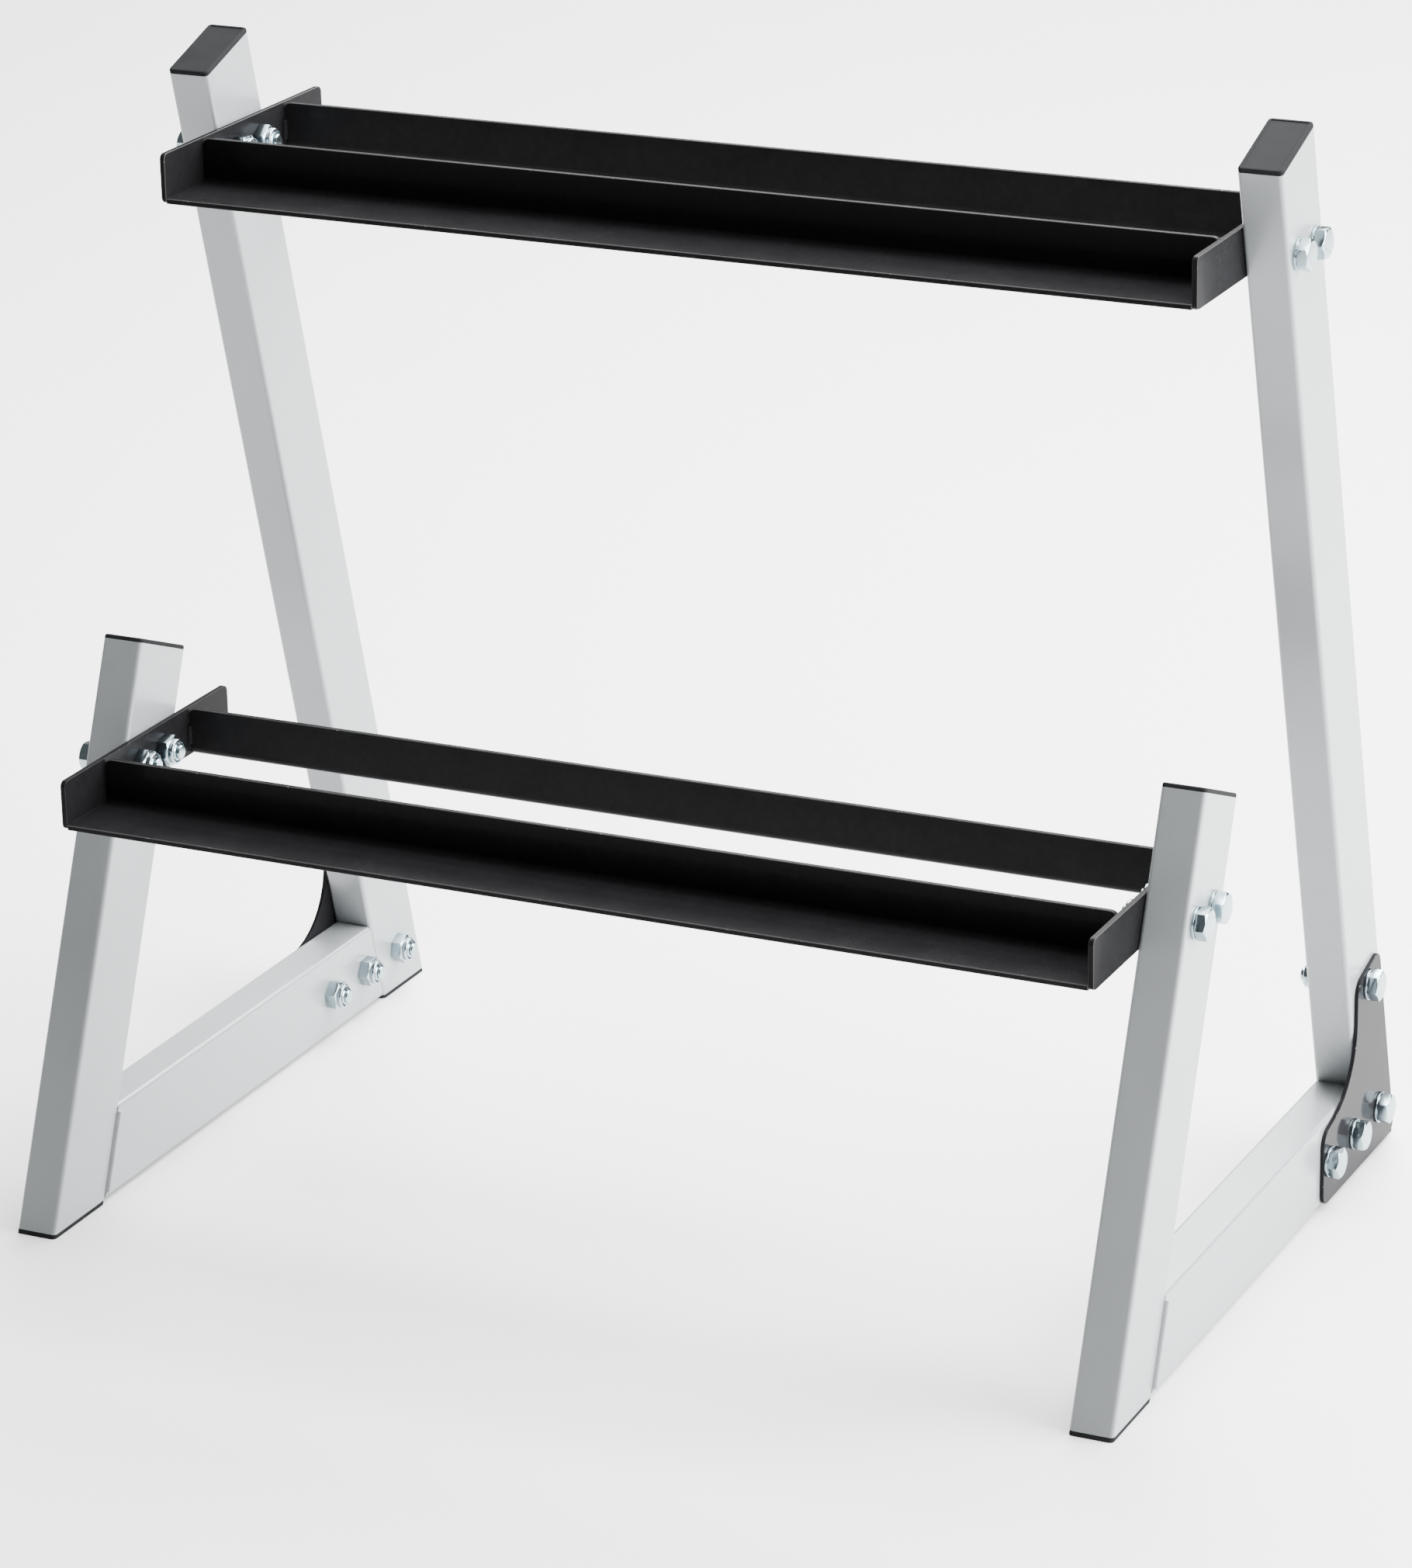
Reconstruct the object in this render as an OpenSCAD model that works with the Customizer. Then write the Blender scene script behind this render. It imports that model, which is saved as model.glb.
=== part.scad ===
// Two-tier rack for hex dumbbells: two leaning side frames of rectangular tube carry two
// bolted shelves of bent steel angle. Millimetres. X is the width, Y runs to the back,
// Z is up, the feet stand on z = 0, and the origin is the middle of the floor outline.

/* [Overall] */
// Width over the outer faces of the two side frames
rack_w = 670; // [520:1:900]
// Depth on the floor, from the front of the posts to the back of the uprights
rack_d = 443; // [370:1:560]
// Height of the highest corner of the rear uprights
rack_h = 642; // [540:1:800]
// Height of the front top corner of the front posts
post_h = 320; // [290:1:400]

/* [Side frames] */
// Width of the rectangular tube, across the rack
tube_w = 25.4; // [20:0.1:32]
// Depth of the rectangular tube, seen from the side
tube_d = 50.8; // [42:0.1:61]
// Wall of the tube
tube_wall = 1.5; // [1:0.1:2.5]
// Outer corner radius of the tube
tube_r = 2.5; // [1.6:0.1:4]
// Lean of the front posts towards the back, in degrees
post_lean = 22; // [12:0.1:28]
// Lean of the rear uprights towards the front, in degrees
upright_lean = 14.3; // [6:0.1:20]
// Open joint between the back end of a base rail and the upright
rail_joint = 0.6; // [0.1:0.1:0.9]
// Angle between the top of a rear upright and a square cut; the top rises to the back
top_cut = 4.7; // [0:0.1:10]

/* [Shelves] */
// Height of the middle of the lower shelf
lower_shelf_z = 251; // [180:0.5:290]
// Height of the middle of the upper shelf
upper_shelf_z = 577; // [420:0.5:615]
// Depth of a shelf, front edge to back edge
shelf_d = 180; // [140:1:220]
// Distance of a shelf's middle in front of its bolts
shelf_forward = 4; // [0:0.5:12]
// Height of an end plate
plate_h = 28.5; // [24:0.5:40]
// Thickness of an end plate
plate_t = 3; // [2:0.1:5]
// Corner radius of an end plate
plate_r = 3.5; // [2:0.5:8]
// Thickness of a shelf rail
rail_t = 3; // [2:0.1:4]
// Width of the flange that carries the dumbbell heads
rail_floor_w = 45; // [36:0.5:56]
// Inside radius of the bend in a rail
bend_r = 2.5; // [1:0.1:4]
// Corner radius at each end of a rail's standing flange
rail_corner_r = 5; // [2:0.5:8]

/* [Gussets] */
// Thickness of the gusset plate
gusset_t = 2.3; // [1.5:0.1:4]
// Spacing of the three low bolts
gusset_pitch = 42; // [36:0.5:54]
// Height of the high bolt above the low ones
gusset_rise = 85; // [72:1:106]
// Distance from the front bolt to the plate's front edge
gusset_front_edge = 9.5; // [9.5:0.5:14]
// Distance from the high bolt to the plate's top edge
gusset_top_edge = 10; // [9.5:0.5:14]
// Width of the plate's upper arm, square to the upright
gusset_arm_w = 37.5; // [34:0.5:44]
// Distance of the plate's front top corner below the top of the base rail
gusset_front_drop = 6.5; // [3:0.5:9]
// Distance of the plate's hollow corner above the top of the base rail
gusset_hollow_rise = 6; // [4:0.5:14]
// Gap between the plate and the floor plane of the tube
gusset_floor_gap = 0.5; // [0.5:0.1:3]
// Distance of the plate's back edge inside the upright's back face
gusset_inset = 4; // [2:0.5:8]
// Radius of the plate's hollow corner
gusset_hollow_r = 45; // [25:1:50]
// Radius of the plate's sharp corners
gusset_r = 7; // [3:0.5:8]
// Radius of the plate's blunt corners
gusset_blunt_r = 11; // [4:0.5:14]

/* [Fasteners] */
// Thread diameter of the bolts
bolt_d = 10; // [8:1:12]
// Spacing of the two bolts at each end of a shelf
shelf_bolt_pitch = 25.4; // [22:0.1:28]
// Distance of the shelf bolts below the middle of an end plate
shelf_bolt_drop = 1.5; // [0:0.1:4]
// Clearance of a bolt in its hole, on the diameter
hole_clear = 0.8; // [0.4:0.1:1.5]
// Clearance of a nut on its bolt, on the diameter
nut_clear = 0.2; // [0.1:0.05:0.4]
// Bolt head and nut width across the flats
hex_af = 16; // [13:0.5:17]
// Diameter of the flat top that the turned corners leave on a head or nut
hex_top_d = 15.2; // [12:0.1:16.5]
// Height of a bolt head
head_h = 6.4; // [5:0.1:8]
// Washer outside diameter
washer_d = 18; // [16:0.5:18.5]
// Washer thickness
washer_t = 1.6; // [1:0.1:2.5]
// Height of the hexagon of a lock nut
nut_hex_h = 7.2; // [5:0.1:9]
// Height of the round collar that holds a lock nut's nylon ring
nut_collar_h = 2.8; // [2:0.1:4]
// Diameter of that collar
nut_collar_d = 14.6; // [12.5:0.1:15.8]
// Thread that shows past a lock nut
thread_past_nut = 2.5; // [1:0.5:6]

/* [Caps and feet] */
// Thickness of the floor plate of a foot
foot_t = 2.5; // [1.5:0.1:5]
// Thickness of the top plate of a cap
cap_t = 2.5; // [2:0.1:5]
// Depth of the plug inside the tube
plug_len = 12; // [8:0.5:14]
// Wall of the plug
plug_wall = 1.6; // [1:0.1:2.5]
// Gap between the plug and the tube's inner wall
plug_clear = 0.8; // [0.5:0.1:1.5]
// Gap between the plug's gripping fins and the tube's inner wall
fin_clear = 0.1; // [0.05:0.05:0.3]
// Thickness of a gripping fin
fin_t = 1; // [0.6:0.1:1.5]

/* [Welds] */
// Leg of the bead between a shelf rail's standing flange and its end plate
shelf_bead = 2.5; // [1.5:0.1:4]
// Height of the low run of weld under a rail's end
under_bead_h = 1; // [0.4:0.1:1.6]
// Width of the low run of weld under a rail's end
under_bead_w = 4; // [3:0.5:4]
// Height of the bead on the sides of the post and base rail seam
seam_bead_h = 0.8; // [0.4:0.1:1.2]
// Width of that bead
seam_bead_w = 7; // [6:0.5:9]
// Radius of the bead in the corner over the base rail
corner_bead_r = 3; // [2:0.5:5]

/* [Hidden] */
$fn = 48;
left = -1;
right = 1;
// A block larger than the rack, for cuts
big = 2000;

// Front of the posts and back of the uprights on the floor
front_y = -rack_d / 2;
back_y = rack_d / 2;
// Depth of each leaning tube along the floor
post_run = tube_d / cos(post_lean);
upright_run = tube_d / cos(upright_lean);
// Length of each leaning tube with its cap and foot, along its outer edge
post_len = post_h / cos(post_lean);
upright_len = rack_h / cos(upright_lean);
// Height of the base rail's axis
rail_axis_z = foot_t + tube_d / 2;

// Middle of each leaning tube at a height
function post_mid(z) = front_y + z * tan(post_lean) + post_run / 2;
function upright_mid(z) = back_y - z * tan(upright_lean) - upright_run / 2;

// Bolt axes as [y, z]
function bolt_pair(y, z) = [for (end = [-1, 1]) [y + end * shelf_bolt_pitch / 2, z]];
lower_bolt_z = lower_shelf_z - shelf_bolt_drop;
upper_bolt_z = upper_shelf_z - shelf_bolt_drop;
lower_bolts = bolt_pair(post_mid(lower_bolt_z), lower_bolt_z);
upper_bolts = bolt_pair(upright_mid(upper_bolt_z), upper_bolt_z);
high_bolt_z = rail_axis_z + gusset_rise;
upright_bolts = [[upright_mid(high_bolt_z), high_bolt_z], [upright_mid(rail_axis_z), rail_axis_z]];
rail_bolts = [for (k = [1, 2]) [upright_mid(rail_axis_z) - k * gusset_pitch, rail_axis_z]];

// Middle of each shelf as [y, z]
lower_shelf = [post_mid(lower_shelf_z) - shelf_forward, lower_shelf_z];
upper_shelf = [upright_mid(upper_shelf_z) - shelf_forward, upper_shelf_z];
rail_len = rack_w - 2 * (tube_w + plate_t);
// Gusset bolts, top to bottom and back to front
gusset_bolts = concat(upright_bolts, rail_bolts);
// Angle by which each bolt of a group is turned past the last
bolt_turn = 23;
// Places of the gripping fins along a plug
fin_shares = [0.4, 0.8];
// Stretch of leaning tube that is cut to make a foot or a slanted cap
reach_len = 2 * tube_d;

// ---- Outlines -------------------------------------------------------------------------

// Points of the arc of radius r that rounds corner p between its neighbours a and b
function corner_arc(a, p, b, r, steps = 8) =
    let (u = (a - p) / norm(a - p), v = (b - p) / norm(b - p), half = acos(u * v) / 2,
         middle = p + (u + v) / norm(u + v) * r / sin(half),
         from = p + u * r / tan(half) - middle, to = p + v * r / tan(half) - middle,
         start = atan2(from.y, from.x), turn = atan2(to.y, to.x) - start,
         sweep = turn > 180 ? turn - 360 : turn < -180 ? turn + 360 : turn)
    [for (k = [0:steps]) middle + r * [cos(start + sweep * k / steps), sin(start + sweep * k / steps)]];

// Outline through corners given as [x, y, radius]
function rounded(corners) =
    [for (k = [0:len(corners) - 1])
        let (n = len(corners), c = corners[k], p = [c.x, c.y],
             a = corners[(k + n - 1) % n], b = corners[(k + 1) % n])
        each (c.z > 0 ? corner_arc([a.x, a.y], p, [b.x, b.y], c.z) : [p])];

// Rectangle with round corners, centred
module round_rect(w, d, r) {
    square([w - 2 * r, d], center = true);
    square([w, d - 2 * r], center = true);
    for (x = [-1, 1], y = [-1, 1])
        translate([x * (w / 2 - r), y * (d / 2 - r)]) circle(r);
}

// Outline of the tube's hollow, less a gap all round
module tube_hollow(gap = 0) {
    inset = tube_wall + gap;
    round_rect(tube_w - 2 * inset, tube_d - 2 * inset, max(tube_r - inset, 0.4));
}

module tube_bar(length) {
    linear_extrude(length) difference() {
        round_rect(tube_w, tube_d, tube_r);
        tube_hollow();
    }
}

module solid_bar(length) {
    linear_extrude(length) round_rect(tube_w, tube_d, tube_r);
}

// A flat plate: an outline in [y, z], thickness along +X
module side_plate(outline, thickness) {
    rotate([90, 0, 90]) linear_extrude(thickness) polygon(outline);
}

// ---- Places ---------------------------------------------------------------------------

// A side frame's own plane: +X points outwards on both sides
module on_side(side) {
    translate([side * (rack_w - tube_w) / 2, 0, 0]) mirror([side == left ? 1 : 0, 0, 0]) children();
}

// The axes of the front post and of the rear upright, +Z along the tube
module on_post() {
    translate([0, front_y, 0]) rotate([-post_lean, 0, 0]) translate([0, tube_d / 2, 0]) children();
}
module on_upright() {
    translate([0, back_y, 0]) rotate([upright_lean, 0, 0]) translate([0, -tube_d / 2, 0]) children();
}

// The stretch between the back of the post and the joint in front of the upright
module between_post_and_upright() {
    difference() {
        children();
        on_post() translate([-big / 2, tube_d / 2 - big, -big / 2]) cube(big);
        on_upright() translate([-big / 2, -tube_d / 2 - rail_joint, -big / 2]) cube(big);
    }
}

// Along the base rail's axis
module on_base_rail() {
    translate([0, front_y, rail_axis_z]) rotate([-90, 0, 0]) children();
}

// What lies between two heights
module slab(from, to) {
    intersection() {
        children();
        translate([-big / 2, -big / 2, from]) cube([big, big, to - from]);
    }
}

// What lies between two depths below an upright's slanted top
module top_stretch(from, to) {
    intersection() {
        children();
        translate([0, tube_d / 2, upright_len]) rotate([top_cut, 0, 0])
            translate([-big / 2, -big / 2, -to]) cube([big, big, to - from]);
    }
}

// Children at each bolt's axis, +Z outwards, each turned a little further than the last
module at_bolts(bolts, x) {
    for (k = [0:len(bolts) - 1])
        translate([x, bolts[k][0], bolts[k][1]]) rotate([0, 90, 0]) rotate(k * bolt_turn) children();
}

module bolt_holes(bolts) {
    at_bolts(bolts, 0) cylinder(d = bolt_d + hole_clear, h = 4 * tube_w, center = true);
}

// ---- Side frames ----------------------------------------------------------------------

module front_post(side) {
    color("gainsboro") on_side(side) difference() {
        slab(foot_t, big) on_post() tube_bar(post_len - cap_t);
        bolt_holes(lower_bolts);
    }
}

module rear_upright(side) {
    color("gainsboro") on_side(side) difference() {
        slab(foot_t, big) on_upright() top_stretch(cap_t, big) tube_bar(upright_len);
        bolt_holes(concat(upright_bolts, upper_bolts));
    }
}

module base_rail(side) {
    color("gainsboro") on_side(side) difference() {
        between_post_and_upright() on_base_rail() tube_bar(rack_d);
        bolt_holes(rail_bolts);
    }
}

// Weld of the base rail to the post: a low bead down each side of the seam, filling the
// groove at the tube's round corner, and one in the corner over the rail
module base_weld(side) {
    bead_r = (pow(seam_bead_w / 2, 2) + pow(seam_bead_h, 2)) / (2 * seam_bead_h);
    seam_start = (foot_t + tube_r) / cos(post_lean) + tube_d * tan(post_lean);
    seam_len = (tube_d - 2 * tube_r) / cos(post_lean);
    rail_top = foot_t + tube_d;
    color("silver") on_side(side) difference() {
        union() {
            for (face = [-1, 1])
                on_post() translate([face * (tube_w / 2 + seam_bead_h - bead_r), tube_d / 2, seam_start])
                    cylinder(r = bead_r, h = seam_len);
            translate([0, front_y + post_run + rail_top * tan(post_lean), rail_top]) rotate([0, 90, 0])
                cylinder(r = corner_bead_r, h = tube_w - 2 * tube_r, center = true);
        }
        on_post() solid_bar(post_len);
        between_post_and_upright() on_base_rail() solid_bar(rack_d);
    }
}

// Plate bolted on the outside over the joint of base rail and upright
module gusset(side) {
    bottom = foot_t + gusset_floor_gap;
    rail_top = foot_t + tube_d;
    front = rail_bolts[1][0] - gusset_front_edge;
    up = [-sin(upright_lean), cos(upright_lean)];
    back = [cos(upright_lean), sin(upright_lean)];
    top_back = upright_bolts[0] + up * gusset_top_edge + back * (tube_d / 2 - gusset_inset);
    top_front = top_back - back * gusset_arm_w;
    bottom_back = back_y - bottom * tan(upright_lean) - gusset_inset / cos(upright_lean);
    color("dimgray") on_side(side) difference() {
        translate([tube_w / 2, 0, 0]) side_plate(rounded([
            [front, bottom, gusset_r],
            [front, rail_top - gusset_front_drop, gusset_blunt_r],
            [top_front.x, rail_top + gusset_hollow_rise, gusset_hollow_r],
            [top_front.x, top_front.y, gusset_blunt_r],
            [top_back.x, top_back.y, gusset_r],
            [bottom_back, bottom, gusset_r]
        ]), gusset_t);
        bolt_holes(gusset_bolts);
    }
}

// ---- Caps and feet --------------------------------------------------------------------

// Ring of the plug's wall, or of a gripping fin on it
module plug_ring(outer_gap, length) {
    linear_extrude(length) difference() {
        tube_hollow(outer_gap);
        tube_hollow(plug_clear + plug_wall);
    }
}

// Top caps: the post's end is square, the upright's is slanted
module post_cap(side) {
    color("dimgray") on_side(side) on_post() translate([0, 0, post_len - cap_t]) {
        solid_bar(cap_t);
        translate([0, 0, -plug_len]) plug_ring(plug_clear, plug_len);
        for (share = fin_shares) translate([0, 0, -plug_len * share]) plug_ring(fin_clear, fin_t);
    }
}

module upright_cap(side) {
    color("dimgray") on_side(side) on_upright() {
        top_stretch(0, cap_t) top_reach() solid_bar(reach_len);
        top_stretch(cap_t, cap_t + plug_len) top_reach() plug_ring(plug_clear, reach_len);
        for (share = fin_shares) top_stretch(cap_t + plug_len * share - fin_t, cap_t + plug_len * share)
            top_reach() plug_ring(fin_clear, reach_len);
    }
}

module top_reach() {
    translate([0, 0, upright_len - reach_len / 2]) children();
}

// Feet: a floor plate with the tube's slanted outline, and a plug that leans with the tube
module post_foot(side) {
    color("dimgray") on_side(side) {
        slab(0, foot_t) on_post() foot_reach() solid_bar(reach_len);
        slab(foot_t, foot_t + plug_len) on_post() foot_reach() plug_ring(plug_clear, reach_len);
        for (share = fin_shares) slab(foot_t + plug_len * share, foot_t + plug_len * share + fin_t)
            on_post() foot_reach() plug_ring(fin_clear, reach_len);
    }
}

module upright_foot(side) {
    color("dimgray") on_side(side) {
        slab(0, foot_t) on_upright() foot_reach() solid_bar(reach_len);
        slab(foot_t, foot_t + plug_len) on_upright() foot_reach() plug_ring(plug_clear, reach_len);
        for (share = fin_shares) slab(foot_t + plug_len * share, foot_t + plug_len * share + fin_t)
            on_upright() foot_reach() plug_ring(fin_clear, reach_len);
    }
}

module foot_reach() {
    translate([0, 0, -tube_d / 2]) children();
}

// ---- Shelves --------------------------------------------------------------------------

// A shelf's own place: y = 0 at its middle, z = 0 at the bottom of its rails
module on_shelf(shelf) {
    translate([0, shelf[0], shelf[1] - plate_h / 2]) children();
}

// Bent angle: the floor flange points away from the shelf's middle, towards +Y or -Y
module shelf_rail(toward) {
    inner = shelf_d / 2 - rail_floor_w;
    color("dimgray") mirror([0, toward < 0 ? 1 : 0, 0]) difference() {
        rotate([90, 0, 90]) linear_extrude(rail_len, center = true) polygon(rounded([
            [inner, 0, bend_r + rail_t],
            [shelf_d / 2, 0, 0],
            [shelf_d / 2, rail_t, 0],
            [inner + rail_t, rail_t, bend_r],
            [inner + rail_t, plate_h, 0],
            [inner, plate_h, 0]
        ]));
        for (end = [0, 1]) mirror([end, 0, 0])
            translate([rail_len / 2 - rail_corner_r, inner + 2 * rail_t, plate_h - rail_corner_r])
                rotate([90, 0, 0]) linear_extrude(3 * rail_t) difference() {
                    square(2 * rail_corner_r);
                    circle(rail_corner_r);
                }
    }
}

// Flat plate that closes the rails' ends and is bolted to the inner face of the tube
module end_plate(side, shelf, bolts) {
    front = shelf[0] - shelf_d / 2;
    low = shelf[1] - plate_h / 2;
    color("dimgray") on_side(side) difference() {
        translate([-tube_w / 2 - plate_t, 0, 0]) side_plate(rounded([
            [front, low, plate_r],
            [front + shelf_d, low, plate_r],
            [front + shelf_d, low + plate_h, plate_r],
            [front, low + plate_h, plate_r]
        ]), plate_t);
        bolt_holes(bolts);
    }
}

// Beads at the four rail ends: a low run under the joint, a fillet behind the standing flange
module shelf_welds() {
    inner = shelf_d / 2 - rail_floor_w;
    outer_bend = bend_r + rail_t;
    run_r = (pow(under_bead_w / 2, 2) + pow(under_bead_h, 2)) / (2 * under_bead_h);
    color("dimgray") for (end = [0, 1], row = [0, 1]) mirror([0, row, 0]) mirror([end, 0, 0]) {
        translate([-rail_len / 2, inner + outer_bend, 0]) rotate([-90, 0, 0])
            linear_extrude(rail_floor_w - outer_bend - plate_r) intersection() {
                translate([0, under_bead_h - run_r]) circle(run_r);
                translate([-run_r, 0]) square(2 * run_r);
            }
        translate([-rail_len / 2, inner, outer_bend])
            linear_extrude(plate_h - outer_bend - rail_corner_r)
                polygon([[0, 0], [shelf_bead, 0], [0, -shelf_bead]]);
    }
}

// ---- Fasteners ------------------------------------------------------------------------

// Hexagon with its top corners turned off at 30 degrees
module hexagon(height) {
    corner_r = hex_af / 2 / cos(30);
    intersection() {
        cylinder(r = corner_r, h = height, $fn = 6);
        cylinder(d1 = hex_top_d + 2 * height * tan(60), d2 = hex_top_d, h = height);
    }
}

// Bolt with the underside of its head at z = 0
module bolt(length) {
    hexagon(head_h);
    translate([0, 0, -length]) cylinder(d = bolt_d, h = length + head_h / 2);
}

module washer() {
    difference() {
        cylinder(d = washer_d, h = washer_t);
        translate([0, 0, -1]) cylinder(d = bolt_d + hole_clear, h = washer_t + 2);
    }
}

// Lock nut that sits at z = 0 and points to -Z
module lock_nut() {
    mirror([0, 0, 1]) difference() {
        union() {
            hexagon(nut_hex_h);
            cylinder(d = nut_collar_d, h = nut_hex_h + nut_collar_h);
        }
        translate([0, 0, -1]) cylinder(d = bolt_d + nut_clear, h = nut_hex_h + nut_collar_h + 2);
    }
}

// One joint's bolts, washers or nuts. plate_out lies under the washers, plate_in under the nuts
module bolt_group(side, bolts, plate_out, plate_in) {
    grip = washer_t + plate_out + tube_w + plate_in;
    color("lightsteelblue") on_side(side) at_bolts(bolts, tube_w / 2 + plate_out + washer_t)
        bolt(grip + nut_hex_h + nut_collar_h + thread_past_nut);
}

module washer_group(side, bolts, plate_out) {
    color("lightsteelblue") on_side(side) at_bolts(bolts, tube_w / 2 + plate_out) washer();
}

module nut_group(side, bolts, plate_in) {
    color("lightsteelblue") on_side(side) at_bolts(bolts, -tube_w / 2 - plate_in) lock_nut();
}

front_post(left);  // left_front_post
front_post(right);  // right_front_post
base_rail(left);  // left_base_rail
base_rail(right);  // right_base_rail
base_weld(left);  // left_base_weld
base_weld(right);  // right_base_weld
rear_upright(left);  // left_rear_upright
rear_upright(right);  // right_rear_upright
gusset(left);  // left_gusset
gusset(right);  // right_gusset
post_cap(left);  // left_post_cap
post_cap(right);  // right_post_cap
upright_cap(left);  // left_upright_cap
upright_cap(right);  // right_upright_cap
post_foot(left);  // left_post_foot
post_foot(right);  // right_post_foot
upright_foot(left);  // left_upright_foot
upright_foot(right);  // right_upright_foot
on_shelf(lower_shelf) shelf_rail(-1);  // lower_front_rail
on_shelf(lower_shelf) shelf_rail(1);  // lower_rear_rail
end_plate(left, lower_shelf, lower_bolts);  // lower_left_end_plate
end_plate(right, lower_shelf, lower_bolts);  // lower_right_end_plate
on_shelf(lower_shelf) shelf_welds();  // lower_shelf_welds
on_shelf(upper_shelf) shelf_rail(-1);  // upper_front_rail
on_shelf(upper_shelf) shelf_rail(1);  // upper_rear_rail
end_plate(left, upper_shelf, upper_bolts);  // upper_left_end_plate
end_plate(right, upper_shelf, upper_bolts);  // upper_right_end_plate
on_shelf(upper_shelf) shelf_welds();  // upper_shelf_welds
bolt_group(left, gusset_bolts, gusset_t, 0);  // left_gusset_bolts
washer_group(left, gusset_bolts, gusset_t);  // left_gusset_washers
nut_group(left, gusset_bolts, 0);  // left_gusset_nuts
bolt_group(right, gusset_bolts, gusset_t, 0);  // right_gusset_bolts
washer_group(right, gusset_bolts, gusset_t);  // right_gusset_washers
nut_group(right, gusset_bolts, 0);  // right_gusset_nuts
bolt_group(left, lower_bolts, 0, plate_t);  // left_lower_shelf_bolts
washer_group(left, lower_bolts, 0);  // left_lower_shelf_washers
nut_group(left, lower_bolts, plate_t);  // left_lower_shelf_nuts
bolt_group(right, lower_bolts, 0, plate_t);  // right_lower_shelf_bolts
washer_group(right, lower_bolts, 0);  // right_lower_shelf_washers
nut_group(right, lower_bolts, plate_t);  // right_lower_shelf_nuts
bolt_group(left, upper_bolts, 0, plate_t);  // left_upper_shelf_bolts
washer_group(left, upper_bolts, 0);  // left_upper_shelf_washers
nut_group(left, upper_bolts, plate_t);  // left_upper_shelf_nuts
bolt_group(right, upper_bolts, 0, plate_t);  // right_upper_shelf_bolts
washer_group(right, upper_bolts, 0);  // right_upper_shelf_washers
nut_group(right, upper_bolts, plate_t);  // right_upper_shelf_nuts
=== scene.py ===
import math

import bpy
from mathutils import Matrix, Vector


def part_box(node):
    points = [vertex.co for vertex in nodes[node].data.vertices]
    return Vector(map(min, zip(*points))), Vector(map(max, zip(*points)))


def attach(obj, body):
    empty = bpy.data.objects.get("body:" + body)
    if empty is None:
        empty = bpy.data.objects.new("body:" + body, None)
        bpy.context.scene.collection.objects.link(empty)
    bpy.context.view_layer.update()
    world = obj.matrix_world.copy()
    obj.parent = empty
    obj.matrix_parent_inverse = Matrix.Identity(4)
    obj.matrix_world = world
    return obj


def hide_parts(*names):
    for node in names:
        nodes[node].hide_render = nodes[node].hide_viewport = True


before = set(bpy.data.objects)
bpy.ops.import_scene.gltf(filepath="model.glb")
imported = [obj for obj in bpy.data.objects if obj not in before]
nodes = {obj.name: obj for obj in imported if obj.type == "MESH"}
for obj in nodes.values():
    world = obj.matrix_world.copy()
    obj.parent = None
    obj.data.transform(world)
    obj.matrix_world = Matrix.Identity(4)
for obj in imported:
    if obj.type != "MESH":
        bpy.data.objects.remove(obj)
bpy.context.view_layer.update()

# ---- Posts, base rails and uprights ----------------------------------------------------------
# The side frames are rectangular steel tube with rolled corners, cut, drilled and welded, then
# sprayed with a light silver-grey powder coat. The coat is half glossy with a fine grain and a
# little metal flake in it. The shapes are the part's own tubes.


class Channel:
    """A socket in a finish's nodes. Arithmetic on it adds Math nodes, node() adds any other."""

    def __init__(self, tree, socket):
        self.tree = tree
        self.socket = socket

    def node(self, kind, settings, inputs, output=0):
        made = self.tree.nodes.new("ShaderNode" + kind)
        for name, value in settings.items():
            setattr(made, name, value)
        for name, value in inputs.items():
            if isinstance(value, Channel):
                self.tree.links.new(value.socket, made.inputs[name])
            else:
                made.inputs[name].default_value = value
        return Channel(self.tree, made.outputs[output])

    def math(self, operation, a, b):
        return self.node("Math", {"operation": operation}, {0: a, 1: b})

    def __add__(self, other):
        return self.math("ADD", self, other)

    def __radd__(self, other):
        return self.math("ADD", other, self)

    def __sub__(self, other):
        return self.math("SUBTRACT", self, other)

    def __rsub__(self, other):
        return self.math("SUBTRACT", other, self)

    def __mul__(self, other):
        return self.math("MULTIPLY", self, other)

    def __rmul__(self, other):
        return self.math("MULTIPLY", other, self)

    def noise(self, scale, detail=2.0, roughness=0.5):
        return self.node("TexNoise", {}, {
            "Vector": self, "Scale": scale, "Detail": detail, "Roughness": roughness})

    def between(self, low, high):
        """0 below low, 1 above high, smooth in between"""
        return self.node("MapRange", {"interpolation_type": "SMOOTHSTEP"}, {
            "Value": self, "From Min": low, "From Max": high})

    def tint(self, low, high):
        """A colour: low where this is 0, high where it is 1"""
        low, high = ((*c, 1) if isinstance(c, tuple) else c for c in (low, high))
        return self.node("Mix", {"data_type": "RGBA"}, {0: self, 6: low, 7: high}, 2)

    def relief(self, depth, strength=1.0):
        """Normals of a surface that this raises by up to depth, in metres"""
        return self.node("Bump", {}, {"Height": self, "Distance": depth, "Strength": strength})

    def into(self, finish, socket):
        self.tree.links.new(self.socket, finish.node_tree.nodes["Principled BSDF"].inputs[socket])


def new_finish(name, fixed):
    """A material with these constants on its shader, and the place it is read at"""
    finish = bpy.data.materials.new(name)
    finish.use_nodes = True
    shader = finish.node_tree.nodes["Principled BSDF"]
    for socket, value in fixed.items():
        shader.inputs[socket].default_value = value
    place = finish.node_tree.nodes.new("ShaderNodeTexCoord").outputs["Object"]
    return finish, Channel(finish.node_tree, place)


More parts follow.
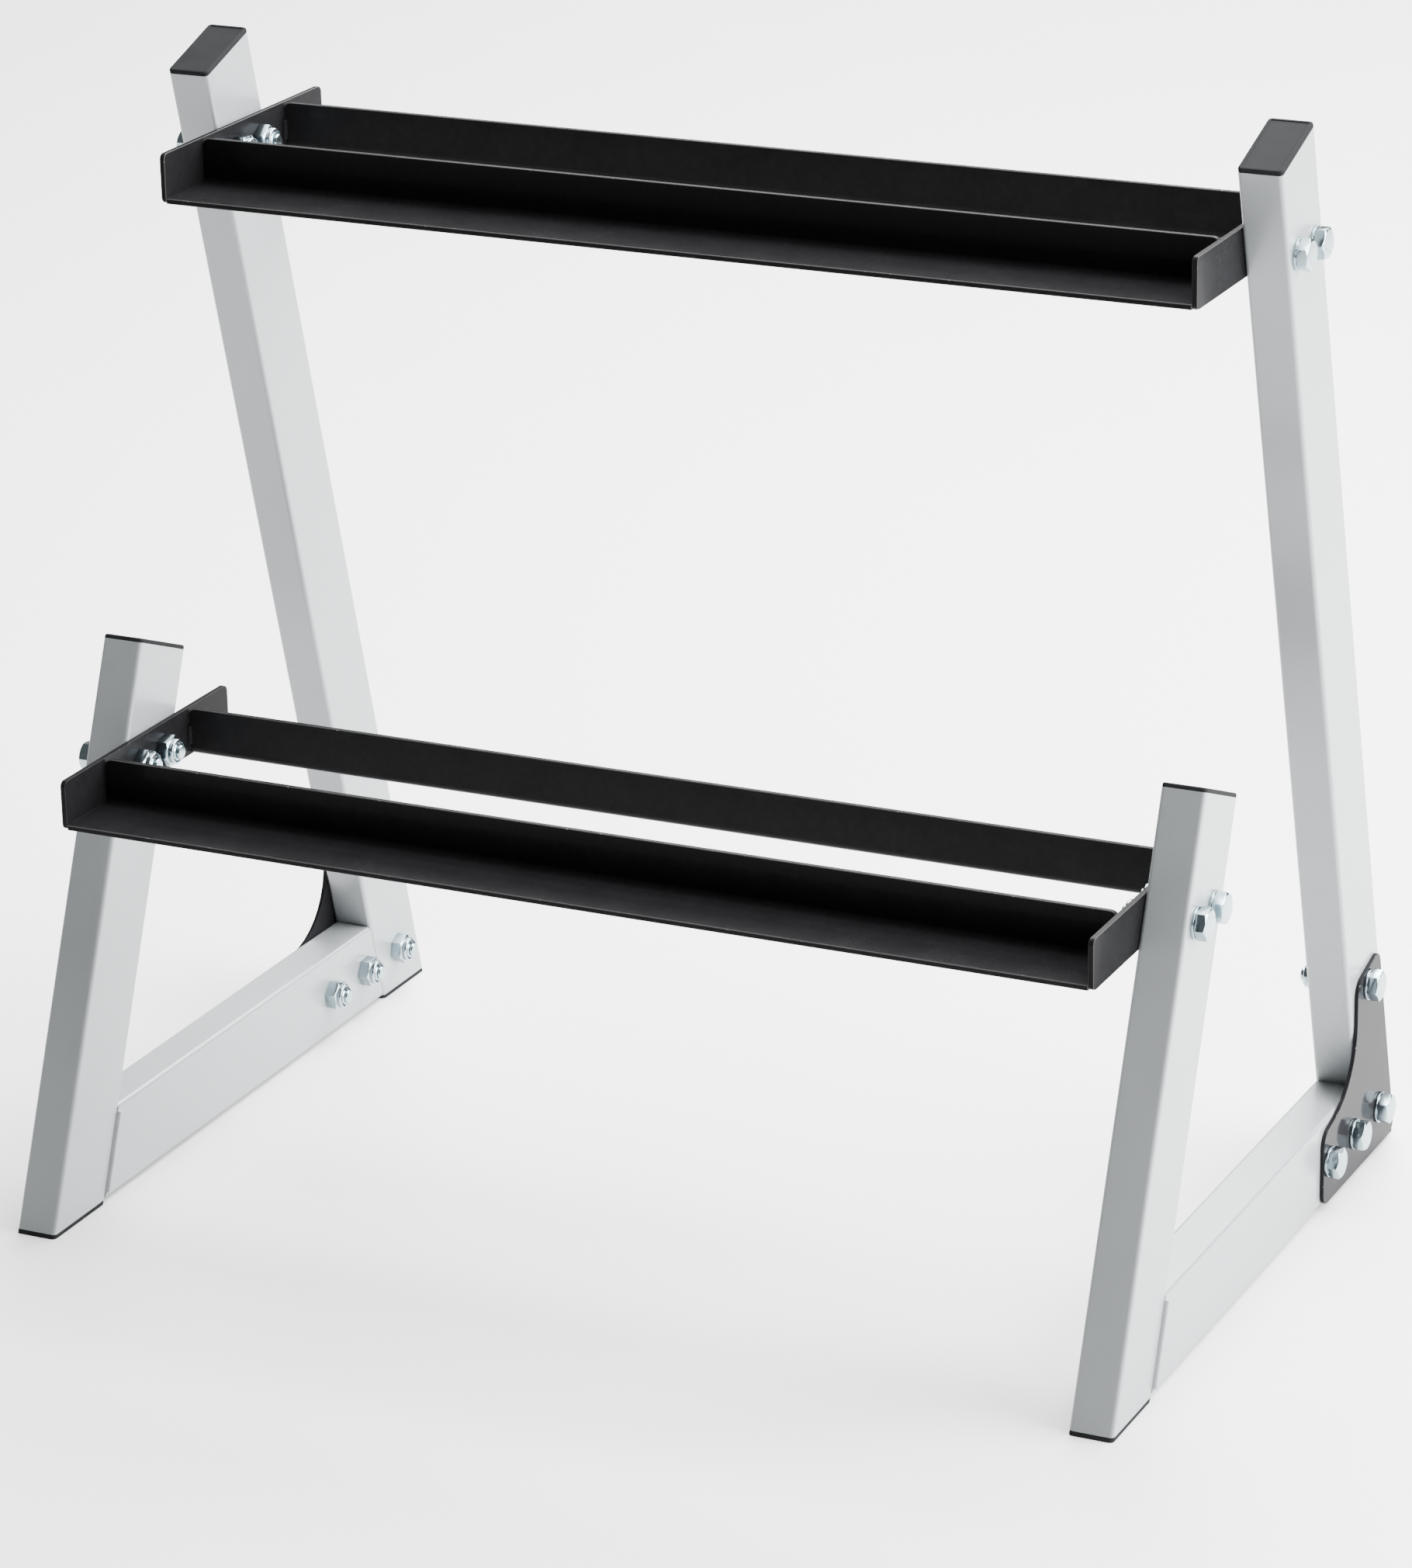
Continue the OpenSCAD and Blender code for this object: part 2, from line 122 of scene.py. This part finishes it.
silver_coat, place = new_finish("silver powder coat", {
    "Metallic": 0.2, "IOR": 1.5, "Coat Weight": 0.45, "Coat Roughness": 0.14})
grain = place.noise(1500, 3, 0.6)
flow = place.noise(22, 3)
cell = place.node("TexVoronoi", {"feature": "F1"}, {"Vector": place, "Scale": 70})
speck = 1 - cell.between(0.02, 0.035)
shade = (grain * 0.7 + flow * 0.3).tint((0.238, 0.254, 0.264), (0.325, 0.345, 0.357))
(speck * 0.5).tint(shade, (0.16, 0.16, 0.155)).into(silver_coat, "Base Color")
(0.30 + grain * 0.16 + flow * 0.05).into(silver_coat, "Roughness")
(grain + flow * 0.6).relief(0.00006, 0.5).into(silver_coat, "Normal")

for side in ("left", "right"):
    for tube in ("front_post", "base_rail", "rear_upright"):
        nodes[side + "_" + tube].material_slots[0].material = silver_coat

# ---- Welds of the base rails to the posts ----------------------------------------------------
# A short run of steel weld fills the groove down each side of the joint and another crosses the
# top of the rail. Each is a row of small overlapping puddles, sprayed with the frame's coat.

corner_r = 0.0025
seam_pitch = 0.0016
side_puddle = (0.0013, 0.0031, 0.002)
side_sunk = 0.0006
top_puddle = (0.0024, 0.0024, 0.0019)
top_margin = 0.004
post_lean = math.radians(22)
along_post = Vector((0, math.sin(post_lean), math.cos(post_lean)))
across = Vector((1, 0, 0))


def only(piece):
    """Makes this piece the one that is selected and active"""
    bpy.ops.object.select_all(action="DESELECT")
    piece.select_set(True)
    bpy.context.view_layer.objects.active = piece


def apply_modifier(piece, kind, **settings):
    only(piece)
    modifier = piece.modifiers.new(kind, kind)
    for name, value in settings.items():
        setattr(modifier, name, value)
    bpy.ops.object.modifier_apply(modifier=modifier.name)


def bead(start, along, length, radii, pitch):
    """A row of overlapping puddles from start: radii are out of the seam, across it and along it"""
    bpy.ops.object.select_all(action="DESELECT")
    bpy.ops.mesh.primitive_uv_sphere_add(segments=14, ring_count=8, radius=1)
    puddle = bpy.context.object
    out, wide, run = radii
    turn = along.to_track_quat("Z", "X").to_matrix().to_4x4()
    puddle.matrix_world = Matrix.Translation(start) @ turn @ Matrix.Diagonal((out, wide, run, 1))
    bpy.ops.object.transform_apply(location=True, rotation=True, scale=True)
    apply_modifier(puddle, "ARRAY", count=round(length / pitch), use_relative_offset=False,
                   use_constant_offset=True, constant_offset_displace=along * pitch)
    bpy.ops.object.shade_smooth()
    return puddle


def joined(pieces, name):
    """Several meshes made one piece"""
    only(pieces[0])
    for piece in pieces:
        piece.select_set(True)
    bpy.ops.object.join()
    pieces[0].name = name
    return pieces[0]


def fit(piece, finish, slot, *stands_for):
    """Gives a piece its finish, ties it to the part and hides the nodes it stands for, if any"""
    piece.data.materials.clear()
    piece.data.materials.append(finish)
    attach(piece, "root")
    if stands_for:
        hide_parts(*stands_for)


for side in ("left", "right"):
    rail_low, rail_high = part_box(side + "_base_rail")
    tube_w = rail_high[0] - rail_low[0]
    mid_x = (rail_low[0] + rail_high[0]) / 2
    rise = rail_high[2] - rail_low[2]
    seam_foot = Vector((mid_x, rail_low[1], rail_low[2])) + along_post * 2 * corner_r
    seam_len = (rise - 2 * corner_r) / math.cos(post_lean)
    beads = []
    for face in (-1, 1):
        beads.append(bead(seam_foot + across * face * (tube_w / 2 - side_sunk), along_post,
                          seam_len - corner_r, side_puddle, seam_pitch))
    seam_top = Vector((mid_x, rail_low[1] + rise * math.tan(post_lean), rail_high[2]))
    beads.append(bead(seam_top - across * (tube_w / 2 - top_margin), across,
                      tube_w - 1.5 * top_margin, top_puddle, seam_pitch))
    fit(joined(beads, side + "_base_seam"), silver_coat, "frame_coat", side + "_base_weld")

# ---- Gussets ---------------------------------------------------------------------------------
# A flat steel plate over the outside of each rear joint, laser cut with a hollow inner corner,
# then dipped in a smooth gloss black coat that mirrors the bolt heads and is thin at the edges.


def finer(node, edge, steps=3, sharp=30):
    """A copy of one of the part's nodes, its loose triangles merged and its edges rounded over.
    The rounded edges are marked in the face attribute "rim", where a coat is thin and chips."""
    piece = nodes[node].copy()
    piece.data = nodes[node].data.copy()
    piece.name = node + "_finished"
    bpy.context.collection.objects.link(piece)
    only(piece)
    bpy.ops.mesh.customdata_custom_splitnormals_clear()
    bpy.ops.object.mode_set(mode="EDIT")
    bpy.ops.mesh.select_all(action="SELECT")
    bpy.ops.mesh.remove_doubles(threshold=0.00001)
    bpy.ops.mesh.dissolve_limited(angle_limit=math.radians(0.5))
    bpy.ops.object.mode_set(mode="OBJECT")
    piece.data.materials.append(None)
    apply_modifier(piece, "BEVEL", width=edge, segments=steps, limit_method="ANGLE", material=1,
                   angle_limit=math.radians(sharp), use_clamp_overlap=True)
    rim = piece.data.attributes.new("rim", "FLOAT", "FACE")
    for face in piece.data.polygons:
        rim.data[face.index].value = face.material_index
        face.material_index = 0
    bpy.ops.object.shade_smooth_by_angle(angle=math.radians(sharp))
    apply_modifier(piece, "WEIGHTED_NORMAL", keep_sharp=True, weight=80)
    return piece


gusset_coat, place = new_finish("gloss black dip", {
    "IOR": 1.09, "Coat Weight": 0.03, "Coat Roughness": 0.02, "Coat IOR": 1.3})
ripple = place.noise(60, 2)
dust = place.noise(900, 4, 0.65)
rim = place.node("Attribute", {"attribute_name": "rim"}, {}, 2)
black = (dust * 0.6 + ripple * 0.4).tint((0.006, 0.006, 0.007), (0.02, 0.02, 0.022))
chipped = rim * place.noise(420, 4, 0.7).between(0.63, 0.69)
chipped.tint(black, (0.30, 0.30, 0.29)).into(gusset_coat, "Base Color")
(0.03 + dust * 0.06 + ripple * 0.04).into(gusset_coat, "Roughness")
ripple.relief(0.00012, 0.25).into(gusset_coat, "Normal")

for side in ("left", "right"):
    fit(finer(side + "_gusset", edge=0.00035), gusset_coat, "gusset_coat", side + "_gusset")

# ---- Top caps --------------------------------------------------------------------------------
# A moulded plastic plug closes the top of each tube. Its plate covers the tube's wall, with a
# rounded rim and a shallow sunk panel in the middle, and the plastic is satin dark grey.

cap_t = 0.0025
cap_rim_r = 0.0012
panel_margin = 0.0008
panel_step = 0.0003
panel_sunk = 0.0004


def pick(piece, what, wanted):
    """In edit mode, selects just the edges or faces whose middle passes the test"""
    bpy.ops.object.mode_set(mode="EDIT")
    bpy.ops.mesh.select_mode(type=what)
    bpy.ops.mesh.select_all(action="DESELECT")
    bpy.ops.object.mode_set(mode="OBJECT")
    points = piece.data.vertices
    for item in piece.data.edges if what == "EDGE" else piece.data.polygons:
        middle = sum((points[v].co for v in item.vertices), Vector()) / len(item.vertices)
        item.select = wanted(middle, item)
    bpy.ops.object.mode_set(mode="EDIT")


tube_low, tube_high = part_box("left_base_rail")
tube_w, tube_d = tube_high[0] - tube_low[0], tube_high[2] - tube_low[2]
bpy.ops.object.select_all(action="DESELECT")
bpy.ops.mesh.primitive_cube_add(size=1)
cap = bpy.context.object
cap.scale = (tube_w, tube_d, cap_t)
bpy.ops.object.transform_apply(location=True, rotation=True, scale=True)
pick(cap, "EDGE", lambda middle, edge: abs(middle.z) < cap_t / 4)
bpy.ops.mesh.bevel(offset=corner_r, segments=6)
bpy.ops.object.mode_set(mode="OBJECT")
pick(cap, "EDGE", lambda middle, edge: middle.z > cap_t * 0.49)
bpy.ops.mesh.bevel(offset=cap_rim_r, segments=5)
bpy.ops.object.mode_set(mode="OBJECT")
pick(cap, "FACE", lambda middle, face: face.normal.z > 0.999)
bpy.ops.mesh.inset(thickness=panel_margin)
bpy.ops.mesh.inset(thickness=panel_step)
bpy.ops.transform.translate(value=(0, 0, -panel_sunk))
bpy.ops.object.mode_set(mode="OBJECT")
bpy.ops.object.shade_smooth_by_angle(angle=math.radians(40))
apply_modifier(cap, "WEIGHTED_NORMAL", keep_sharp=True, weight=80)

cap_plastic, place = new_finish("dark satin plastic", {"IOR": 1.06})
mould = place.noise(2200, 2, 0.6)
rub = place.noise(45, 4, 0.6)
grey = (mould * 0.4 + rub * 0.6).tint((0.009, 0.0095, 0.010), (0.024, 0.025, 0.026))
grey.into(cap_plastic, "Base Color")
(0.46 + mould * 0.10 + rub * 0.12).into(cap_plastic, "Roughness")
mould.relief(0.00005, 0.5).into(cap_plastic, "Normal")


def stood(pattern, place_at):
    """A copy with its own mesh, moved and turned, left at the origin with its place in its mesh"""
    piece = pattern.copy()
    piece.data = pattern.data.copy()
    bpy.context.collection.objects.link(piece)
    only(piece)
    piece.matrix_world = place_at
    bpy.ops.object.transform_apply(location=True, rotation=True, scale=True)
    return piece


upright_lean = math.radians(14.3)
top_cut = math.radians(4.7)
for side in ("left", "right"):
    for tube, leg, lean, cut in (("post", "front_post", -post_lean, 0),
                                 ("upright", "rear_upright", upright_lean, top_cut)):
        low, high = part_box("%s_%s" % (side, leg))
        foot_low, foot_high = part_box("%s_%s_foot" % (side, tube))
        # The tube's outer edge runs from the foot's outer edge to the highest corner of the cap
        outer = -1 if tube == "post" else 1
        edge_y = foot_low[1] if tube == "post" else foot_high[1]
        cap_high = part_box("%s_%s_cap" % (side, tube))[1]
        edge_len = cap_high[2] / math.cos(lean)
        corner = Vector(((low[0] + high[0]) / 2, edge_y, 0)) \
            + Matrix.Rotation(lean, 4, "X") @ Vector((0, 0, edge_len))
        turn = Matrix.Rotation(lean + cut, 4, "X")
        centre = corner + turn @ Vector((0, -outer * tube_d / 2 / math.cos(cut), -cap_t / 2))
        stretch = Matrix.Diagonal((1, 1 / math.cos(cut), 1, 1))
        piece = stood(cap, Matrix.Translation(centre) @ turn @ stretch)
        piece.name = "%s_%s_top" % (side, tube)
        fit(piece, cap_plastic, "cap_plastic", "%s_%s_cap" % (side, tube))
bpy.data.objects.remove(cap)

# ---- Feet ------------------------------------------------------------------------------------
# Each leg stands on a thin plate of the same dark plastic, moulded with a leaning plug that is
# pressed up into the tube. Only the plate's edge shows, as a dark line under the steel.

for side in ("left", "right"):
    for tube in ("post", "upright"):
        node = "%s_%s_foot" % (side, tube)
        fit(finer(node, edge=0.0004), cap_plastic, "cap_plastic", node)

# ---- Shelf rails -----------------------------------------------------------------------------
# Each shelf has two rails of steel sheet bent to an angle: the floor flange carries the dumbbell
# heads and the standing flange keeps them in line. They are powder coated gloss black, with the
# soft ripple of a thick coat and bare scuffs along the edges where weights are laid down.

shelf_coat, place = new_finish("gloss black powder coat", {
    "IOR": 1.08, "Coat Weight": 0.02, "Coat Roughness": 0.06, "Coat IOR": 1.4})
peel = place.noise(240, 2, 0.5)
mist = place.noise(35, 3)
chip = place.noise(330, 5, 0.75)
rim = place.node("Attribute", {"attribute_name": "rim"}, {}, 2)
black = (mist * 0.5 + peel * 0.5).tint((0.005, 0.005, 0.0055), (0.013, 0.013, 0.014))
thin = rim.tint(black, (0.05, 0.05, 0.05))
(rim * chip.between(0.64, 0.68)).tint(thin, (0.35, 0.34, 0.33)).into(shelf_coat, "Base Color")
(0.18 + mist * 0.10 + chip * 0.05).into(shelf_coat, "Roughness")
peel.relief(0.00016, 0.35).into(shelf_coat, "Normal")

for shelf in ("lower", "upper"):
    for rail in ("front_rail", "rear_rail"):
        node = "%s_%s" % (shelf, rail)
        fit(finer(node, edge=0.0005), shelf_coat, "shelf_coat", node)

# ---- End plates ------------------------------------------------------------------------------
# A flat steel bar with rounded corners is welded across the rails' ends and bolted to the tube.
# It carries the shelf's gloss black coat.

for shelf in ("lower", "upper"):
    for side in ("left", "right"):
        node = "%s_%s_end_plate" % (shelf, side)
        fit(finer(node, edge=0.0005), shelf_coat, "shelf_coat", node)

# ---- Shelf welds -----------------------------------------------------------------------------
# Short runs of weld hold each rail's end to its plate: a low one across the joint from below and
# one in the corner behind the standing flange. They are coated with the shelf.

weld_pitch = 0.0015
low_puddle = (0.0012, 0.0021, 0.0017)
low_from_fold = 0.008
low_margins = 0.012
corner_puddle = (0.0022, 0.0022, 0.0016)
corner_from_floor = 0.008
corner_len = 0.011
weld_proud = 0.0002

for shelf in ("lower", "upper"):
    beads = []
    for rail, toward in (("front_rail", -1), ("rear_rail", 1)):
        low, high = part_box("%s_%s" % (shelf, rail))
        fold_y = high[1] if toward < 0 else low[1]
        lip_y = low[1] if toward < 0 else high[1]
        for end in (-1, 1):
            end_x = high[0] if end > 0 else low[0]
            under = Vector((end_x, fold_y + toward * low_from_fold, low[2] + weld_proud))
            beads.append(bead(under, Vector((0, toward, 0)), abs(lip_y - fold_y) - low_margins,
                              low_puddle, weld_pitch))
            behind = Vector((end_x - end * weld_proud, fold_y - toward * weld_proud,
                             low[2] + corner_from_floor))
            beads.append(bead(behind, Vector((0, 0, 1)), corner_len, corner_puddle, weld_pitch))
    fit(joined(beads, shelf + "_shelf_beads"), shelf_coat, "shelf_coat", shelf + "_shelf_welds")

# ---- Washers ---------------------------------------------------------------------------------
# Small flat steel washers lie under every bolt head, stamped, so their edges are rounded over,
# and plated with bright zinc that looks a little blue.

zinc, place = new_finish("bright zinc plate", {"Metallic": 1.0, "IOR": 1.9})
cloudy = place.noise(160, 4, 0.6)
fine = place.noise(2600, 2, 0.5)
blue = (cloudy * 0.6 + fine * 0.4).tint((0.25, 0.33, 0.36), (0.44, 0.53, 0.57))
blue.into(zinc, "Base Color")
(0.12 + cloudy * 0.10 + fine * 0.04).into(zinc, "Roughness")
(cloudy * 0.7 + fine * 0.3).relief(0.00002, 0.1).into(zinc, "Normal")

joints = ["left_gusset", "right_gusset", "left_lower_shelf", "left_upper_shelf",
          "right_lower_shelf", "right_upper_shelf"]
for joint in joints:
    fit(finer(joint + "_washers", edge=0.0004), zinc, "zinc", joint + "_washers")

# ---- Bolts -----------------------------------------------------------------------------------
# Hexagon bolts of zinc-plated steel go in from the outside. The head's corners are turned off
# at a slant, a thin turned face keeps it clear of the washer, and the thread runs out past the
# nut and stops just short of the small cone at the end.

bolt_d = 0.010
hex_af = 0.016
hex_flat_d = 0.0152
hex_edge = 0.00018
head_h = 0.0064
face_t = 0.0004
face_r = hex_af * 0.475
core_r = bolt_d / 2 - 0.0009
thread_pitch = 0.0015
thread_len = 0.014
lead_in = 0.0012
tip_h = 0.0008
tip_r = core_r - 0.0006
washer_r = 0.009


def drum(radius, low, high, sides=64, radius_2=None):
    """A round or many-sided bar along Z from low to high"""
    bpy.ops.object.select_all(action="DESELECT")
    middle = (0, 0, (low + high) / 2)
    if radius_2 is None:
        bpy.ops.mesh.primitive_cylinder_add(vertices=sides, radius=radius, depth=high - low,
                                            location=middle)
    else:
        bpy.ops.mesh.primitive_cone_add(vertices=sides, radius1=radius, radius2=radius_2,
                                        depth=high - low, location=middle)
    bpy.ops.object.transform_apply(location=True, rotation=True, scale=True)
    return bpy.context.object


def hexagon(low, high):
    """A hexagonal prism with its top corners turned off at 30 degrees"""
    prism = drum(hex_af / 2 / math.cos(math.radians(30)), low, high, 6)
    slope = math.tan(math.radians(60))
    cone = drum(hex_flat_d / 2 + (high - low) * slope, low, high, 96, hex_flat_d / 2)
    apply_modifier(prism, "BOOLEAN", operation="INTERSECT", object=cone, solver="EXACT")
    bpy.data.objects.remove(cone)
    apply_modifier(prism, "BEVEL", width=hex_edge, segments=2, limit_method="ANGLE",
                   angle_limit=math.radians(25))
    return prism


def helix(radius_in, radius_out, low, length):
    """A screw thread along Z, up from low: the outline of one ridge, wound by the Screw modifier"""
    coil = bpy.data.meshes.new("coil")
    ridge = [(radius_in, 0, low), (radius_out, 0, low + thread_pitch * 0.44),
             (radius_out, 0, low + thread_pitch * 0.56), (radius_in, 0, low + thread_pitch)]
    coil.from_pydata(ridge, [(0, 1), (1, 2), (2, 3)], [])
    coil = bpy.data.objects.new("coil", coil)
    bpy.context.collection.objects.link(coil)
    apply_modifier(coil, "SCREW", axis="Z", steps=40, render_steps=40, screw_offset=thread_pitch,
                   iterations=int(length / thread_pitch), use_merge_vertices=True,
                   merge_threshold=0.000001)
    return coil


def bolt_of(length):
    """A bolt with the underside of its head at z = 0 and its thread's end at z = -length"""
    head = hexagon(face_t, head_h)
    face = drum(face_r, 0, face_t * 1.5)
    shank = drum(bolt_d / 2, thread_len - length, face_t)
    core = drum(core_r, tip_h - length, thread_len - length)
    tip = drum(tip_r, -length, tip_h - length, 64, core_r)
    thread = helix(core_r, bolt_d / 2, lead_in - length, thread_len - lead_in)
    whole = joined([head, face, shank, core, tip, thread], "bolt")
    bpy.ops.object.mode_set(mode="EDIT")
    bpy.ops.mesh.select_all(action="SELECT")
    bpy.ops.mesh.normals_make_consistent(inside=False)
    bpy.ops.object.mode_set(mode="OBJECT")
    bpy.ops.object.shade_smooth_by_angle(angle=math.radians(24))
    return whole


def bolt_places(joint):
    """The axes of a joint's bolts as (y, z), read from the washers"""
    low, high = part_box(joint + "_washers")
    y_low, y_high = low[1] + washer_r, high[1] - washer_r
    z_low, z_high = low[2] + washer_r, high[2] - washer_r
    if "shelf" in joint:
        return [(y_low, z_low), (y_high, z_low)]
    return [(y_high - (z_high - z_low) * math.tan(upright_lean), z_high),
            (y_high, z_low), ((y_low + y_high) / 2, z_low), (y_low, z_low)]


def at_bolt(joint, x, y, z, turn):
    """The place of something on a bolt's axis, with its own Z pointing outwards"""
    outward = -1 if joint.startswith("left") else 1
    along_x = Matrix.Rotation(outward * math.pi / 2, 4, "Y")
    return Matrix.Translation((x, y, z)) @ along_x @ Matrix.Rotation(turn, 4, "Z")


def set_out(pattern, joint, x, suffix, first_turn, step):
    """Copies of one fastener at all of a joint's bolts, made one piece"""
    copies = [stood(pattern, at_bolt(joint, x, y, z, math.radians(first_turn + k * step)))
              for k, (y, z) in enumerate(bolt_places(joint))]
    return joined(copies, joint + suffix)


head_turns = {"right_gusset": (12, 17), "left_gusset": (40, 23),
              "right_lower_shelf": (8, 21), "right_upper_shelf": (33, 26),
              "left_lower_shelf": (5, 31), "left_upper_shelf": (18, 13)}
for joint in joints:
    low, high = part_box(joint + "_bolts")
    pattern = bolt_of(high[0] - low[0] - head_h)
    under_head = high[0] - head_h if joint.startswith("right") else low[0] + head_h
    group = set_out(pattern, joint, under_head, "_hex_bolts", *head_turns[joint])
    fit(group, zinc, "zinc", joint + "_bolts")
    bpy.data.objects.remove(pattern)

# ---- Lock nuts -------------------------------------------------------------------------------
# Inside the frame each bolt is held by a lock nut: a hexagon with a rolled-over dome that grips
# a ring of nylon around the thread. The nut is plated like the bolt, and the ring is dark: its
# colour is partly painted shade, standing for the shaded gap between the dome's lip and thread.

nut_hex_h = 0.0072
nut_top = nut_hex_h + 0.0028
nut_bore_r = 0.0051
collar_r = 0.0073
collar_low = 0.0002
dome_r = 0.0011
lip_r = 0.0061
lip_high = nut_top - 0.0002
lip_low = nut_top - 0.0006
pocket_r = 0.0059
pocket_low = nut_top - 0.0016
seat_gap = 0.0001
ring_r = 0.0060
ring_bore_r = 0.0048
ring_low = nut_top - 0.0030
ring_high = nut_top - 0.0010
ring_ease = 0.0003


def turned(profile, name):
    """A solid of revolution about Z from a closed outline of (radius, height)"""
    mesh = bpy.data.meshes.new(name)
    count = len(profile)
    outline = [(k, (k + 1) % count) for k in range(count)]
    mesh.from_pydata([(r, 0, z) for r, z in profile], outline, [])
    piece = bpy.data.objects.new(name, mesh)
    bpy.context.collection.objects.link(piece)
    only(piece)
    bpy.ops.object.mode_set(mode="EDIT")
    bpy.ops.mesh.select_all(action="SELECT")
    bpy.ops.mesh.spin(steps=64, angle=2 * math.pi, center=(0, 0, 0), axis=(0, 0, 1))
    bpy.ops.mesh.select_all(action="SELECT")
    bpy.ops.mesh.remove_doubles(threshold=0.000005)
    bpy.ops.mesh.normals_make_consistent(inside=False)
    bpy.ops.object.mode_set(mode="OBJECT")
    return piece


dome = [(collar_r - dome_r * (1 - math.cos(turn)), nut_top - dome_r * (1 - math.sin(turn)))
        for turn in (math.radians(a) for a in range(0, 91, 15))]
lip = [(lip_r, lip_high), (pocket_r, lip_low)]
pocket = [(pocket_r, pocket_low), (nut_bore_r, pocket_low)]
collar = turned([(nut_bore_r, collar_low), (collar_r, collar_low)] + dome + lip + pocket, "collar")
nut = joined([hexagon(seat_gap, nut_hex_h), collar], "lock_nut")
bpy.ops.object.shade_smooth_by_angle(angle=math.radians(24))
ring = turned([(ring_bore_r, ring_low), (ring_r, ring_low), (ring_r, ring_high - ring_ease),
               (ring_r - ring_ease, ring_high), (ring_bore_r, ring_high - ring_ease / 3)], "nylon_ring")
bpy.ops.object.shade_smooth_by_angle(angle=math.radians(40))

# The ring's near-black colour is partly painted shade: besides the nylon's own tone it stands in for
# the shade in the gap between the nut's lip and the thread.
nylon, place = new_finish("nylon with painted gap shade", {"IOR": 1.53})
weave = place.noise(3000, 2)
weave.tint((0.020, 0.022, 0.026), (0.045, 0.048, 0.055)).into(nylon, "Base Color")
(0.45 + weave * 0.15).into(nylon, "Roughness")

nut_turns = {"right_gusset": (5, 27), "left_gusset": (20, 19),
             "right_lower_shelf": (10, 35), "right_upper_shelf": (28, 14),
             "left_lower_shelf": (25, 22), "left_upper_shelf": (3, 24)}
for joint in joints:
    low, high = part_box(joint + "_nuts")
    outward = -1 if joint.startswith("left") else 1
    against = high[0] if outward > 0 else low[0]
    inwards = Matrix.Rotation(math.pi, 4, "X")
    for pattern, finish, slot, suffix, stands_for in (
            (nut, zinc, "zinc", "_lock_nuts", [joint + "_nuts"]),
            (ring, nylon, "cap_plastic", "_nylon_rings", [])):
        flipped = stood(pattern, inwards)
        group = set_out(flipped, joint, against, suffix, *nut_turns[joint])
        fit(group, finish, slot, *stands_for)
        bpy.data.objects.remove(flipped)
bpy.data.objects.remove(nut)
bpy.data.objects.remove(ring)

# ---- Floor, light and camera -----------------------------------------------------------------
# The rack stands on a plain pale studio floor, lit by a large soft light at its right, one
# overhead and a larger one high up further back, with a weak even light all round.

bpy.ops.object.select_all(action="DESELECT")
bpy.ops.mesh.primitive_plane_add(size=30)
floor = bpy.context.object
floor.name = "studio_floor"
floor_paint, place = new_finish("pale floor", {"Roughness": 0.55})
drift = place.noise(3, 3)
drift.tint((0.86, 0.86, 0.86), (0.90, 0.90, 0.895)).into(floor_paint, "Base Color")
floor.data.materials.append(floor_paint)

sky = bpy.data.worlds.new("studio")
bpy.context.scene.world = sky
sky.use_nodes = True
sky.node_tree.nodes["Background"].inputs["Color"].default_value = (1, 1, 1, 1)
sky.node_tree.nodes["Background"].inputs["Strength"].default_value = 0.2


def soft_light(name, position, target, width, height, watts):
    lamp = bpy.data.lights.new(name, "AREA")
    lamp.shape = "RECTANGLE"
    lamp.size = width
    lamp.size_y = height
    lamp.energy = watts
    light = bpy.data.objects.new(name, lamp)
    light.location = position
    light.rotation_euler = (Vector(target) - Vector(position)).to_track_quat("-Z", "Y").to_euler()
    bpy.context.collection.objects.link(light)


soft_light("right_light", (2.4, 0.5, 1.2), (0, 0.1, 0.3), 2.2, 1.8, 275)
soft_light("overhead", (0.3, 1.0, 2.4), (0, 0.35, 0), 2.6, 2.2, 330)
soft_light("far_overhead", (-0.6, 3.8, 2.8), (-0.6, 3.0, 0), 4.5, 2.6, 520)

yaw, pitch, roll = math.radians(25.9655), math.radians(19.427), math.radians(-1.2215)
eye_at = (1.3237, -2.7168, 1.3518)

camera = bpy.data.cameras.new("camera")
camera.sensor_fit = "VERTICAL"
camera.sensor_height = 36
camera.lens = 131.1
camera.shift_y = -0.0448
eye = bpy.data.objects.new("camera", camera)
back = Vector((math.sin(yaw) * math.cos(pitch), -math.cos(yaw) * math.cos(pitch), math.sin(pitch)))
right = Vector((math.cos(yaw), math.sin(yaw), 0))
up = back.cross(right)
turned_right = right * math.cos(roll) + up * math.sin(roll)
turned_up = up * math.cos(roll) - right * math.sin(roll)
facing = Matrix((turned_right, turned_up, back)).transposed().to_4x4()
eye.matrix_world = Matrix.Translation(eye_at) @ facing
bpy.context.collection.objects.link(eye)
bpy.context.scene.camera = eye
